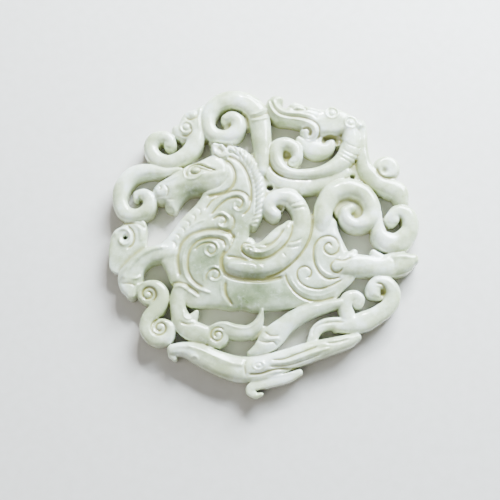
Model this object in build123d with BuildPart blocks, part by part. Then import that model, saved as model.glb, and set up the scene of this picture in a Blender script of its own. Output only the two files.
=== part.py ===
from build123d import *
import os

# A round openwork pendant carved from one slab of jade: a winged horse among scrolls and dragon heads.
# It lies on its back. The back is at Z = 0, the carved front faces +Z and the top of the picture is +Y.

# Sizes, in millimetres
disc_radius = 40.0            # the carving fills a round of this radius
crest_height = 6.4            # from the back to the tops of the boldest scrolls
scroll_half_width = 2.0       # half the width of an ordinary scroll
back_bevel_height = 0.8       # the rounded edge of the back
shoulder_height = 3.5         # where the rounded shoulders of the front begin
form_edge_reach = 1.9         # how far in the rounding of a broad form reaches
dome_rounding_share = 0.75    # how much of a small boss's radius is rounded off
web_height = 4.1              # the low ground between scrolls that touch
ridge_half_width = 0.36       # a raised line on the horse's body
ridge_rise = 0.55             # how far it stands above the body
ring_half_width = 0.35        # the raised rims of eyes and bosses
groove_half_width = 0.28      # an engraved line
groove_depth = 0.7
mane_lock_count = 15          # locks cut into the mane
cord_hole_diameter = 1.8      # drilled above the wing
bird_eye_diameter = 1.2       # drilled through the bird's head
tail_hole_diameter = 1.3      # drilled in the corner beside the tail
bar_length = 4 * scroll_half_width      # long enough to cross the widest scroll
drill_length = 4 * crest_height         # long enough to leave the slab at both faces

# The picture is drawn on a grid of this many squares from its middle to its rim.
# Every place in the tables below is counted in those squares, across and up from the middle.
squares_to_rim = 40
square = disc_radius / squares_to_rim
middle_across = -0.2          # where the middle of the finished outline falls on the grid
middle_up = 0.0

# The edge of every form, from the back up: height between two named levels, and how full the form is there.
# A scroll is narrowed by its share. A broad form is drawn in by what is left of its edge reach.
BACK_FULLNESS = 0.8
SHOULDER_ROUND = ((0.0, 1.0), (0.62, 0.83), (1.0, 0.42))   # share of the shoulder's rise, share of the width

# Rounded scrolls. Each has its crest as a share of crest_height, then its stations from end to end:
# across, up, half the width as a share of scroll_half_width.
SCROLLS = {
    "top_scroll": (0.96, (
        (-0.7, 17.6, 0.7), (-0.5, 20.4, 1.0), (-0.5, 23.5, 1.15), (-0.8, 27.0, 1.3), (-1.2, 31.0, 1.4),
        (-2.3, 34.4, 1.45), (-5.0, 36.5, 1.45), (-8.6, 37.2, 1.4), (-12.1, 36.0, 1.3), (-14.4, 33.3, 1.1),
        (-14.7, 30.2, 1.0), (-13.4, 27.8, 1.0), (-10.9, 27.0, 0.95), (-8.3, 27.5, 1.0), (-6.8, 29.4, 1.0),
        (-7.0, 31.4, 0.95), (-8.6, 32.5, 0.8), (-10.2, 31.9, 0.6),
    )),
    "dragon_neck": (0.98, (
        (21.8, 30.6, 0.9), (22.3, 27.5, 1.15), (22.0, 23.8, 1.35), (20.3, 20.7, 1.25), (17.3, 18.4, 1.05),
        (13.5, 17.0, 0.85), (9.5, 16.6, 0.75), (6.2, 17.0, 0.75), (3.9, 18.6, 0.9), (2.7, 21.3, 1.05),
        (3.3, 24.0, 1.05), (5.6, 24.9, 0.95), (7.8, 23.6, 0.9), (8.3, 21.3, 0.75), (7.1, 19.9, 0.55),
    )),
    "neck_border": (0.82, (
        (0.4, 19.4, 0.5), (1.5, 16.6, 0.65), (4.2, 14.7, 0.7), (8.2, 14.0, 0.75), (12.6, 14.3, 0.75),
        (17.0, 15.6, 0.75), (20.8, 17.4, 0.6),
    )),
    "nape_border": (0.88, (
        (25.0, 30.4, 0.65), (25.2, 27.6, 0.7), (25.1, 24.4, 0.75), (25.2, 21.0, 0.9), (26.0, 17.8, 1.1),
        (28.3, 14.9, 1.2), (31.1, 13.5, 1.15), (33.9, 12.1, 1.2), (34.8, 9.2, 0.75),
    )),
    "upper_left_scroll": (0.92, (
        (-18.0, 32.0, 0.9), (-17.7, 28.0, 1.15), (-18.2, 24.6, 1.15), (-20.6, 21.7, 1.05),
        (-24.4, 20.2, 0.9), (-27.9, 21.2, 0.95), (-29.3, 23.8, 0.95), (-28.2, 26.3, 0.95),
        (-25.8, 27.0, 0.8), (-24.2, 25.9, 0.7), (-24.5, 24.4, 0.5),
    )),
    "left_scroll": (0.9, (
        (-19.8, 19.8, 0.35), (-25.2, 18.3, 0.75), (-30.0, 18.3, 0.95), (-33.8, 16.6, 1.05),
        (-36.2, 13.2, 1.05), (-36.6, 9.6, 0.95), (-35.2, 6.6, 1.0), (-32.2, 6.0, 0.8), (-29.6, 7.3, 0.9),
        (-29.0, 9.8, 0.9), (-30.4, 11.4, 0.75), (-32.2, 11.3, 0.55), (-32.6, 10.3, 0.35),
    )),
    "horse_tail": (1.0, (
        (13.4, -1.0, 0.7), (14.0, 2.0, 1.0), (14.4, 5.0, 1.2), (15.1, 8.4, 1.25), (17.3, 11.7, 1.3),
        (21.2, 13.0, 1.3), (25.1, 11.3, 1.2), (26.9, 7.8, 1.15), (26.1, 4.5, 1.15), (23.0, 3.2, 0.9),
        (20.6, 4.4, 0.9), (20.2, 6.5, 0.8), (21.5, 7.6, 0.6),
    )),
    "right_scroll": (0.92, (
        (26.4, 3.2, 0.4), (28.6, 0.9, 0.8), (31.0, -1.2, 1.1), (34.2, -0.7, 1.35), (36.2, 2.4, 1.15),
        (35.7, 5.7, 1.15), (33.4, 6.8, 0.9), (31.9, 5.5, 0.7), (32.4, 4.2, 0.5),
    )),
    "wing": (1.0, (
        (-8.4, -7.4, 0.9), (-5.6, -7.9, 1.1), (-1.8, -8.2, 1.05), (2.2, -7.3, 1.1), (5.8, -4.6, 1.2),
        (8.3, -0.6, 1.25), (9.2, 3.8, 1.2), (8.6, 7.6, 1.2), (6.4, 10.3, 1.15), (3.5, 10.6, 1.05),
        (1.5, 9.1, 0.9), (1.6, 7.1, 0.8), (3.0, 6.3, 0.5),
    )),
    "wing_leaf": (0.96, (
        (-4.9, -2.8, 0.5), (-2.6, -3.3, 0.8), (0.2, -2.5, 1.0), (2.7, -0.5, 1.05), (4.6, 1.7, 0.9),
        (6.3, 3.6, 0.6),
    )),
    "mane": (0.93, (
        (-9.0, 23.7, 0.4), (-6.4, 22.7, 0.65), (-3.9, 20.2, 0.75), (-2.1, 16.9, 0.75), (-1.3, 13.2, 0.7),
        (-1.3, 9.6, 0.65), (-1.6, 6.0, 0.55), (-2.9, 3.2, 0.5),
    )),
    "raised_foreleg": (0.88, (
        (-23.0, -3.6, 1.2), (-26.0, -3.9, 1.15), (-29.3, -4.9, 1.1), (-31.9, -7.2, 1.2),
        (-33.2, -10.0, 1.55), (-33.3, -12.6, 1.25), (-32.9, -14.4, 0.7),
    )),
    "folded_foreleg": (0.88, (
        (-20.4, -12.6, 1.1), (-21.4, -15.6, 1.0), (-21.2, -18.3, 1.0), (-20.2, -21.0, 1.25),
        (-18.1, -23.1, 1.3), (-15.0, -24.4, 1.25),
    )),
    "leg_tuft": (0.8, ((-19.0, -21.2, 0.8), (-17.7, -20.2, 0.65), (-16.8, -18.8, 0.3))),
    "cloud_scroll": (0.86, (
        (-0.8, -18.4, 0.25), (-1.7, -21.4, 0.6), (-4.0, -23.5, 0.85), (-7.2, -23.6, 0.95),
        (-10.3, -22.9, 0.95), (-12.8, -23.9, 0.85), (-13.0, -26.0, 0.65), (-11.3, -26.7, 0.5),
    )),
    "foot_scroll": (0.88, (
        (-30.5, -15.2, 0.4), (-30.7, -13.6, 0.45), (-29.1, -12.2, 0.6), (-26.6, -12.6, 0.85),
        (-25.3, -15.0, 0.95), (-26.4, -17.9, 1.0), (-28.4, -20.5, 0.95), (-28.5, -23.4, 0.95),
        (-26.4, -25.4, 0.95), (-23.9, -24.8, 0.9), (-23.3, -22.6, 0.7), (-24.7, -21.4, 0.5),
        (-25.8, -22.2, 0.35),
    )),
    "hind_leg": (0.9, (
        (18.4, -16.5, 0.6), (12.0, -18.2, 0.85), (7.6, -20.0, 1.05), (4.6, -22.2, 1.15),
        (2.3, -24.3, 1.35), (0.3, -26.3, 1.25), (-1.7, -27.9, 0.85), (-3.8, -28.9, 0.4),
    )),
    "rear_leg": (0.92, (
        (17.5, -7.6, 1.1), (21.0, -6.8, 1.4), (24.4, -6.4, 1.45), (27.8, -7.0, 1.45), (31.2, -6.8, 1.6),
        (34.6, -6.2, 1.3), (36.4, -5.6, 0.6),
    )),
    "hock_tuft": (0.85, ((20.4, -5.6, 0.9), (21.6, -4.6, 0.65), (22.2, -3.7, 0.3))),
    "ankle_tuft": (0.85, ((28.4, -5.6, 0.8), (27.2, -4.4, 0.55), (26.4, -3.3, 0.3))),
    "lower_right_scroll": (0.88, (
        (17.4, -22.6, 0.6), (20.0, -22.1, 1.05), (23.6, -21.2, 1.25), (27.2, -19.5, 1.1),
        (30.2, -17.1, 1.05), (31.3, -14.2, 0.95), (29.9, -11.7, 0.9), (27.3, -11.6, 0.85),
        (26.1, -13.4, 0.75), (27.2, -14.6, 0.45),
    )),
    "lower_right_curl": (0.86, (
        (20.4, -21.0, 0.9), (19.6, -17.9, 0.95), (20.1, -15.5, 0.85), (21.9, -14.8, 0.75),
        (23.1, -15.8, 0.65), (22.7, -17.0, 0.45),
    )),
    "tail_feather": (0.8, (
        (11.1, -26.0, 0.6), (12.4, -23.2, 0.7), (15.0, -21.7, 0.75), (19.2, -21.5, 0.8),
    )),
    "low_dragon": (0.93, (
        (-22.3, -28.0, 0.75), (-19.2, -27.9, 0.95), (-15.6, -29.2, 1.3), (-11.2, -31.2, 1.45),
        (-6.2, -32.6, 1.55), (-1.0, -32.2, 1.45), (4.5, -30.6, 1.35), (10.0, -28.7, 1.25),
        (15.4, -27.2, 1.05), (20.0, -25.9, 0.85), (22.2, -25.0, 0.5),
    )),
    "chin_curl": (0.78, (
        (8.0, -33.4, 0.45), (5.4, -34.6, 0.6), (1.6, -35.5, 0.65), (-2.0, -36.4, 0.7), (-3.7, -37.6, 0.6),
        (-2.4, -38.8, 0.4), (-1.0, -38.5, 0.25),
    )),
    "jaw_tuft": (0.8, (
        (8.9, 26.3, 0.45), (10.9, 24.5, 0.9), (13.7, 23.6, 1.1), (16.3, 24.0, 0.85), (17.4, 25.4, 0.5),
    )),
    "snout_curl": (0.8, ((-21.0, -28.2, 0.6), (-22.4, -28.9, 0.6), (-21.9, -30.1, 0.35))),
}

# Broad forms. Each has its crest as a share of crest_height and its rounding as a share of form_edge_reach,
# then its outline: across, up.
FORMS = {
    "horse_neck": (0.84, 1.0, (
        (-12.0, 20.6), (-8.4, 22.8), (-4.9, 20.6), (-2.7, 16.4), (-1.9, 11.4), (-2.0, 6.4), (-3.7, 2.0),
        (-5.0, -3.0), (-10.0, -9.0), (-17.0, -13.4), (-22.4, -12.6), (-24.6, -8.4), (-26.6, -5.0),
        (-26.2, -2.0), (-23.8, 0.9), (-20.9, 5.0), (-17.4, 8.8), (-14.8, 13.4),
    )),
    "horse_body": (0.8, 1.0, (
        (-4.4, 0.2), (-1.7, -1.7), (1.3, 0.0), (5.0, 2.8), (9.2, 6.0), (13.0, 6.4), (17.4, 5.0),
        (18.4, 1.6), (20.4, -2.9), (22.6, -6.4), (22.2, -10.2), (19.3, -13.2), (16.6, -15.9),
        (11.4, -17.0), (5.8, -17.9), (0.8, -18.2), (-2.4, -18.7), (-5.6, -18.0), (-8.6, -18.1),
        (-13.0, -17.5), (-18.9, -17.3), (-20.6, -12.8), (-14.0, -3.0),
    )),
    "horse_head": (1.0, 0.9, (
        (-13.2, 22.0), (-16.8, 20.3), (-20.5, 18.6), (-24.5, 16.1), (-27.2, 14.3), (-28.4, 12.2),
        (-27.9, 10.2), (-26.6, 9.0), (-25.4, 8.9), (-24.8, 7.5), (-22.8, 7.0), (-21.6, 9.1),
        (-19.0, 11.2), (-15.0, 11.5), (-11.4, 12.6), (-9.0, 15.2), (-8.9, 18.6), (-10.6, 21.4),
    )),
    "horse_ear": (1.0, 0.5, ((-13.6, 21.4), (-14.2, 24.4), (-12.4, 25.4), (-10.2, 24.4), (-9.4, 22.2),
                             (-11.4, 20.6))),
    "dragon_head": (0.98, 0.75, (
        (0.2, 35.0), (0.8, 37.3), (2.7, 38.5), (4.9, 37.9), (5.0, 36.9), (4.3, 35.8), (5.4, 35.0),
        (6.3, 35.8), (7.6, 36.7), (10.5, 35.7), (15.2, 34.6), (17.4, 35.5), (21.0, 33.9), (25.0, 31.3),
        (26.2, 29.6), (24.4, 28.2), (19.6, 27.6), (17.4, 27.0), (14.4, 27.0), (12.2, 25.9), (10.0, 26.5),
        (9.2, 28.4), (9.4, 29.8), (6.5, 30.6), (3.6, 31.0), (1.2, 32.4),
    )),
    "bird_head": (0.74, 0.6, (
        (-36.0, 3.2), (-34.2, 5.2), (-30.6, 4.8), (-29.5, 2.4), (-29.6, -0.8), (-29.4, -3.4),
        (-32.0, -6.4), (-35.4, -9.2), (-38.2, -8.2), (-38.8, -4.8), (-38.7, -0.6), (-37.6, 1.9),
    )),
    "upper_left_crest": (0.88, 0.6, (
        (-24.0, 28.0), (-23.7, 29.9), (-22.4, 30.4), (-21.6, 32.3), (-20.2, 34.1), (-18.0, 34.8),
        (-15.8, 36.0), (-14.6, 34.0), (-15.6, 29.6), (-17.6, 26.6), (-22.4, 26.4),
    )),
}

# Low ground between forms that touch.
# Each is its middle across and up, half its width, half its length, and its turn in degrees.
WEBS = (
    (1.7, 14.2, 2.6, 3.2, 40.0), (23.6, 17.0, 3.4, 3.0, 0.0), (6.0, 20.7, 3.0, 3.1, 0.0),
    (21.2, 7.5, 3.9, 3.1, 0.0), (-8.8, 30.0, 1.7, 2.2, 0.0), (-27.6, -14.8, 3.2, 2.4, 0.0),
    (-25.4, -22.8, 2.6, 2.6, 0.0), (-16.6, -26.2, 2.2, 1.2, 0.0), (28.0, -13.2, 2.6, 2.6, 0.0),
    (3.2, 8.2, 1.8, 1.4, 0.0), (8.5, 12.2, 1.5, 1.1, 0.0), (14.4, 12.7, 1.4, 1.0, 0.0),
    (26.4, 13.3, 1.4, 1.3, 0.0), (0.3, 11.4, 1.0, 1.4, 0.0), (-15.9, 27.1, 1.2, 0.9, 0.0),
    (-13.2, 25.6, 1.2, 0.8, 0.0), (-2.9, 21.7, 0.8, 1.2, 0.0), (-9.6, 24.9, 1.6, 0.6, 0.0),
    (-20.8, 26.5, 1.2, 0.9, 0.0), (15.2, 26.3, 3.4, 1.2, 4.0), (18.9, 26.6, 1.3, 1.1, 0.0),
    (-30.6, -12.4, 1.2, 1.6, 0.0), (-1.8, -23.8, 2.5, 1.0, 36.0), (-4.8, 31.8, 1.2, 2.3, 14.0),
)

# Round bosses: the upper right knob, the hearts of scrolls, and the balls that scrolls end in.
# Each is its middle across and up, its radius, and its crest as a share of crest_height.
DOMES = (
    (31.0, 18.1, 3.55, 0.88), (-11.7, -24.6, 3.0, 0.84), (-28.6, -14.6, 2.6, 0.8),
    (-25.3, -22.5, 2.0, 0.82), (31.9, 4.9, 1.9, 0.86), (26.5, -13.6, 1.9, 0.84), (22.6, -16.5, 1.5, 0.82),
    (13.4, 25.6, 2.2, 0.76), (-24.3, 24.9, 1.7, 0.84),
)

# Raised lines on the horse: the crest below as a share of crest_height, then the line: across, up.
RIDGES = (
    (0.84, ((-14.2, 6.0), (-12.5, 8.2), (-10.4, 10.0), (-7.9, 11.0), (-5.9, 10.8), (-4.8, 9.3),
            (-5.1, 7.4), (-6.6, 6.6), (-7.9, 7.5), (-7.6, 8.8))),
    (0.84, ((-13.6, 5.2), (-12.0, 6.1), (-10.2, 5.9), (-8.9, 4.6), (-9.1, 3.0), (-10.4, 2.3),
            (-11.7, 3.2), (-11.3, 4.4))),
    (0.84, ((-8.6, -2.4), (-9.2, -0.6), (-10.9, 0.4), (-13.6, 0.6), (-16.4, 0.0), (-18.6, -1.5),
            (-20.0, -4.0), (-20.2, -7.4), (-19.2, -10.6), (-16.8, -13.0))),
    (0.84, ((-18.2, -3.2), (-16.6, -1.6), (-14.2, -0.8), (-12.1, -1.6), (-11.4, -3.4), (-12.2, -5.2),
            (-14.0, -5.5), (-15.2, -4.3), (-14.8, -2.9))),
    (0.84, ((-15.2, -10.4), (-14.8, -8.8), (-13.2, -7.9), (-11.5, -8.6), (-11.0, -10.2), (-12.0, -11.4),
            (-13.4, -11.0))),
)

# Engraved lines: the crest there as a share of crest_height, then the line: across, up.
GROOVES = (
    (0.98, ((0.6, 35.6), (1.9, 33.7), (4.6, 32.0), (8.6, 31.2), (12.2, 30.0))),
    (0.98, ((7.4, 33.9), (9.0, 34.6), (10.6, 34.2))),
    (1.0, ((-26.4, 13.4), (-24.4, 13.0), (-23.2, 11.6))),
    (1.0, ((-14.4, 12.6), (-11.0, 14.2), (-10.2, 17.0), (-11.0, 19.0))),
    (1.0, ((-12.7, 24.2), (-12.2, 22.2))),
    (0.8, ((4.8, -9.8), (5.2, -12.2), (6.8, -14.3), (9.4, -15.7), (12.4, -16.1), (15.4, -15.3))),
    (0.8, ((-9.9, -11.6), (-9.5, -14.2), (-8.4, -16.6))),
    (0.88, ((34.1, 17.3), (32.8, 15.8), (30.8, 15.5), (29.2, 16.7), (29.2, 18.7), (30.6, 19.6),
            (31.9, 18.8), (31.2, 17.5))),
    (0.93, ((2.0, -31.5), (6.0, -30.4), (12.0, -28.4))),
    (0.93, ((-4.0, -34.0), (0.6, -33.6), (5.2, -32.2))),
)

# Drilled right through: across, up, diameter.
DRILLED = (
    (1.3, 13.4, cord_hole_diameter), (-34.9, 0.1, bird_eye_diameter), (22.4, 16.3, tail_hole_diameter),
)

# Raised rims: across, up, radius of the middle of the rim, share of crest_height.
RIMS = (
    (-17.9, 17.4, 1.25, 1.0), (17.4, 32.8, 1.6, 0.98), (22.0, 30.3, 1.5, 0.98), (-1.7, -31.9, 1.2, 0.93),
    (-20.3, 29.1, 1.3, 0.82), (-34.9, 0.1, 1.5, 0.74),
)

# Locks of the mane cut across the mane scroll, and bars cut across other scrolls:
# scroll, first and last place along it (0 to 1), number of cuts, lean in degrees.
BARS = (
    ("mane", 0.06, 0.94, mane_lock_count, 35.0), ("dragon_neck", 0.12, 0.26, 4, 0.0),
    ("top_scroll", 0.14, 0.19, 2, 0.0),
    ("wing", 0.6, 0.66, 2, 0.0), ("wing", 0.38, 0.43, 2, 0.0),
)


def place(across, up):
    """A point of the picture, in millimetres from the middle of the finished outline."""
    return Vector((across - middle_across) * square, (up - middle_up) * square, 0)


def edge_levels(crest):
    """The height and fullness of a form's edge at each of its sections, from the back to its crest."""
    rise = crest - shoulder_height
    levels = [(0.0, BACK_FULLNESS), (back_bevel_height, 1.0)]
    for rise_share, width_share in SHOULDER_ROUND:
        levels.append((shoulder_height + rise_share * rise, width_share))
    return levels


def outward_steps(points, closed):
    """A unit step to the left of the line at each of its points."""
    steps = []
    for index, point in enumerate(points):
        if closed:
            before = points[index - 1]
            after = points[(index + 1) % len(points)]
        else:
            before = points[max(index - 1, 0)]
            after = points[min(index + 1, len(points) - 1)]
        along = (after - before).normalized()
        steps.append(Vector(-along.Y, along.X, 0))
    return steps


def scroll_section(stations, height, fullness):
    """The outline of a scroll at one height: two long edges and two rounded ends."""
    middles = [place(across, up) for across, up, _ in stations]
    steps = outward_steps(middles, closed=False)
    halves = [share * scroll_half_width * fullness for _, _, share in stations]
    left = [middle + step * half for middle, step, half in zip(middles, steps, halves)]
    right = [middle - step * half for middle, step, half in zip(middles, steps, halves)]
    start_tip = middles[0] + (middles[0] - middles[1]).normalized() * halves[0]
    end_tip = middles[-1] + (middles[-1] - middles[-2]).normalized() * halves[-1]
    with BuildSketch(Plane.XY.offset(height)) as section:
        with BuildLine():
            Spline(*left)
            ThreePointArc(left[-1], end_tip, right[-1])
            Spline(*reversed(right))
            ThreePointArc(right[0], start_tip, left[0])
        make_face()
    return section.sketch


def scroll(stations, crest):
    """A scroll: its outline lofted up through the rounding of its edges."""
    sections = [scroll_section(stations, height, fullness) for height, fullness in edge_levels(crest)]
    with BuildPart() as ribbon:
        loft(sections)
    return ribbon.part


def form_section(outline, height, inset):
    """The outline of a broad form at one height, drawn in by an inset."""
    corners = [place(across, up) for across, up in outline]
    steps = outward_steps(corners, closed=True)
    with BuildSketch(Plane.XY.offset(height)) as section:
        with BuildLine():
            Spline(*[corner - step * inset for corner, step in zip(corners, steps)], periodic=True)
        make_face()
    return section.sketch


def form(outline, crest, reach):
    """A broad form: its outline lofted up through the rounding of its edge."""
    levels = edge_levels(crest)
    sections = [form_section(outline, height, (1 - fullness) * reach) for height, fullness in levels]
    with BuildPart() as body:
        loft(sections)
    return body.part


def dome(across, up, radius, crest):
    """A round boss, turned from the same rounding as the edge of a broad form."""
    reach = min(form_edge_reach, radius * dome_rounding_share)
    profile = [(radius - (1 - fullness) * reach, height) for height, fullness in edge_levels(crest)]
    with BuildPart() as boss:
        with BuildSketch(Plane(place(across, up), x_dir=(1, 0, 0), z_dir=(0, -1, 0))):
            with BuildLine():
                Spline(*profile)
                Polyline(profile[-1], (0, crest), (0, 0), profile[0])
            make_face()
        revolve(axis=Axis(place(across, up), (0, 0, 1)))
    return boss.part


def line_sections(points, half_widths_at_heights):
    """Sections of a raised or engraved line, each as wide as its height asks."""
    sections = []
    for height, half_width in half_widths_at_heights:
        stations = [(across, up, half_width / scroll_half_width) for across, up in points]
        sections.append(scroll_section(stations, height, 1.0))
    return sections


def ridge(points, ground):
    """A raised line with sloping sides, rooted in the form below."""
    foot = (ground - ridge_rise, ridge_half_width)
    top = (ground + ridge_rise, ridge_half_width / 2)
    sections = line_sections(points, (foot, top))
    with BuildPart() as line:
        loft(sections, ruled=True)
    return line.part


def groove_cutter(points, ground):
    """The material that an engraved line takes out."""
    bottom = (ground - groove_depth, groove_half_width / 2)
    mouth = (ground + groove_depth, groove_half_width * 2)
    sections = line_sections(points, (bottom, mouth))
    with BuildPart() as cutter:
        loft(sections, ruled=True)
    return cutter.part


def bar_places(name, first, last, count, lean):
    """Where short bars are cut across a scroll, at its crest."""
    crest_share, stations = SCROLLS[name]
    with BuildLine():
        middle = Spline(*[place(across, up) for across, up, _ in stations])
    places = []
    for index in range(count):
        along = first + (last - first) * index / max(count - 1, 1)
        point = middle @ along
        heading = middle % along
        turn = Vector(1, 0, 0).get_signed_angle(heading, Vector(0, 0, 1)) + 90 + lean
        places.append(Location((point.X, point.Y, crest_share * crest_height), (0, 0, turn)))
    return places


pieces = []
for crest_share, stations in SCROLLS.values():
    pieces.append(scroll(stations, crest_share * crest_height))
for crest_share, rounding, outline in FORMS.values():
    pieces.append(form(outline, crest_share * crest_height, rounding * form_edge_reach))

with BuildPart() as low_ground:
    with BuildSketch():
        for across, up, half_width, half_length, turn in WEBS:
            with Locations(Location(place(across, up), (0, 0, turn))):
                Ellipse(half_width * square, half_length * square)
    extrude(amount=web_height)

domes = [dome(across, up, radius * square, share * crest_height) for across, up, radius, share in DOMES]
ridges = [ridge(points, ground * crest_height) for ground, points in RIDGES]
groove_cutters = [groove_cutter(points, ground * crest_height) for ground, points in GROOVES]

with BuildPart() as carved_plaque:
    add([*pieces, *domes, low_ground.part, *ridges])
    for across, up, radius, crest_share in RIMS:
        with BuildSketch(Plane.XY.offset(shoulder_height)):
            with Locations(place(across, up)):
                Circle(radius * square + ring_half_width)
                Circle(radius * square - ring_half_width, mode=Mode.SUBTRACT)
        extrude(amount=crest_share * crest_height + ridge_rise / 2 - shoulder_height)
    for piece in groove_cutters:
        add(piece, mode=Mode.SUBTRACT)
    for name, first, last, count, lean in BARS:
        with Locations(*bar_places(name, first, last, count, lean)):
            Box(bar_length, groove_half_width * 2, groove_depth * 2, mode=Mode.SUBTRACT)
    for across, up, diameter in DRILLED:
        with Locations(place(across, up)):
            Cylinder(diameter / 2, drill_length, mode=Mode.SUBTRACT)

os.makedirs("parts", exist_ok=True)
carved_plaque.part.label = "carved_plaque"
export_step(carved_plaque.part, "parts/carved_plaque.step")
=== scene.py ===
import math

import bpy
import numpy as np
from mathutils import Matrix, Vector


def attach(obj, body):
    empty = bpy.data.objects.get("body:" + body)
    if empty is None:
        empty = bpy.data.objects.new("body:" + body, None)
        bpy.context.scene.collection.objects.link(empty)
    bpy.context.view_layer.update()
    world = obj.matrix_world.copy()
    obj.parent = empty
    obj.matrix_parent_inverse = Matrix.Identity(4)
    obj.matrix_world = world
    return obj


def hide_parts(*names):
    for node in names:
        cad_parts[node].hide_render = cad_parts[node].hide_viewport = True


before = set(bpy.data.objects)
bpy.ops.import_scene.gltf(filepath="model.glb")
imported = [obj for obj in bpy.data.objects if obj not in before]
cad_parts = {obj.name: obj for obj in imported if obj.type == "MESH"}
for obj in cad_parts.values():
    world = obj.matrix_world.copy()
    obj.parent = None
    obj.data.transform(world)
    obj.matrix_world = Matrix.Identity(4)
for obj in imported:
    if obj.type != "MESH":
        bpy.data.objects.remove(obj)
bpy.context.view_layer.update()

# Sizes in millimetres, drawn on the same grid as the solid's
MM = 0.001
MIDDLE = (-0.2, 0.0)    # where the middle of the outline falls on the grid
CREST = 6.4             # the boldest scrolls
SCROLL_HALF = 2.0       # half the width of an ordinary scroll
GROUND = 4.2            # low ground between scrolls that touch
VALLEY = 4.5            # the bottom of the crease where two scrolls meet
FORM_REACH = 1.9        # how far in from its edge a broad form is rounded off
DOME_REACH = 1.6        # the same for a round boss, at most
EDGE_REACH = 2.1        # how far in from the outline and the gaps the front edges are rounded
EDGE_START = 3.4        # how high the sides stand before that rounding begins
EDGE_TOP = 7.0          # where it would end, clear above the boldest crest
BACK_RADIUS = 0.8       # rounding of the back edges
CROWN, CROWN_REACH = 0.25, 6.0       # how much more the middle of a broad form rises, and how far in
FULL_REACH = 4.5        # how far in the fuller forms go on rising
SOFTENING = 0.1         # how far the polish has softened every edge of the carving

# Grids, each its step and its reach or start: the relief is worked out on the first, and the surface
# is cut on the other two, along the floor and up from it.
RASTER, RASTER_REACH = 0.1, 42.0
CELL, CELL_REACH = 0.2, 41.0
CELL_UP, CELL_START = 0.5, -0.75
TRIANGLES = 188000

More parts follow.
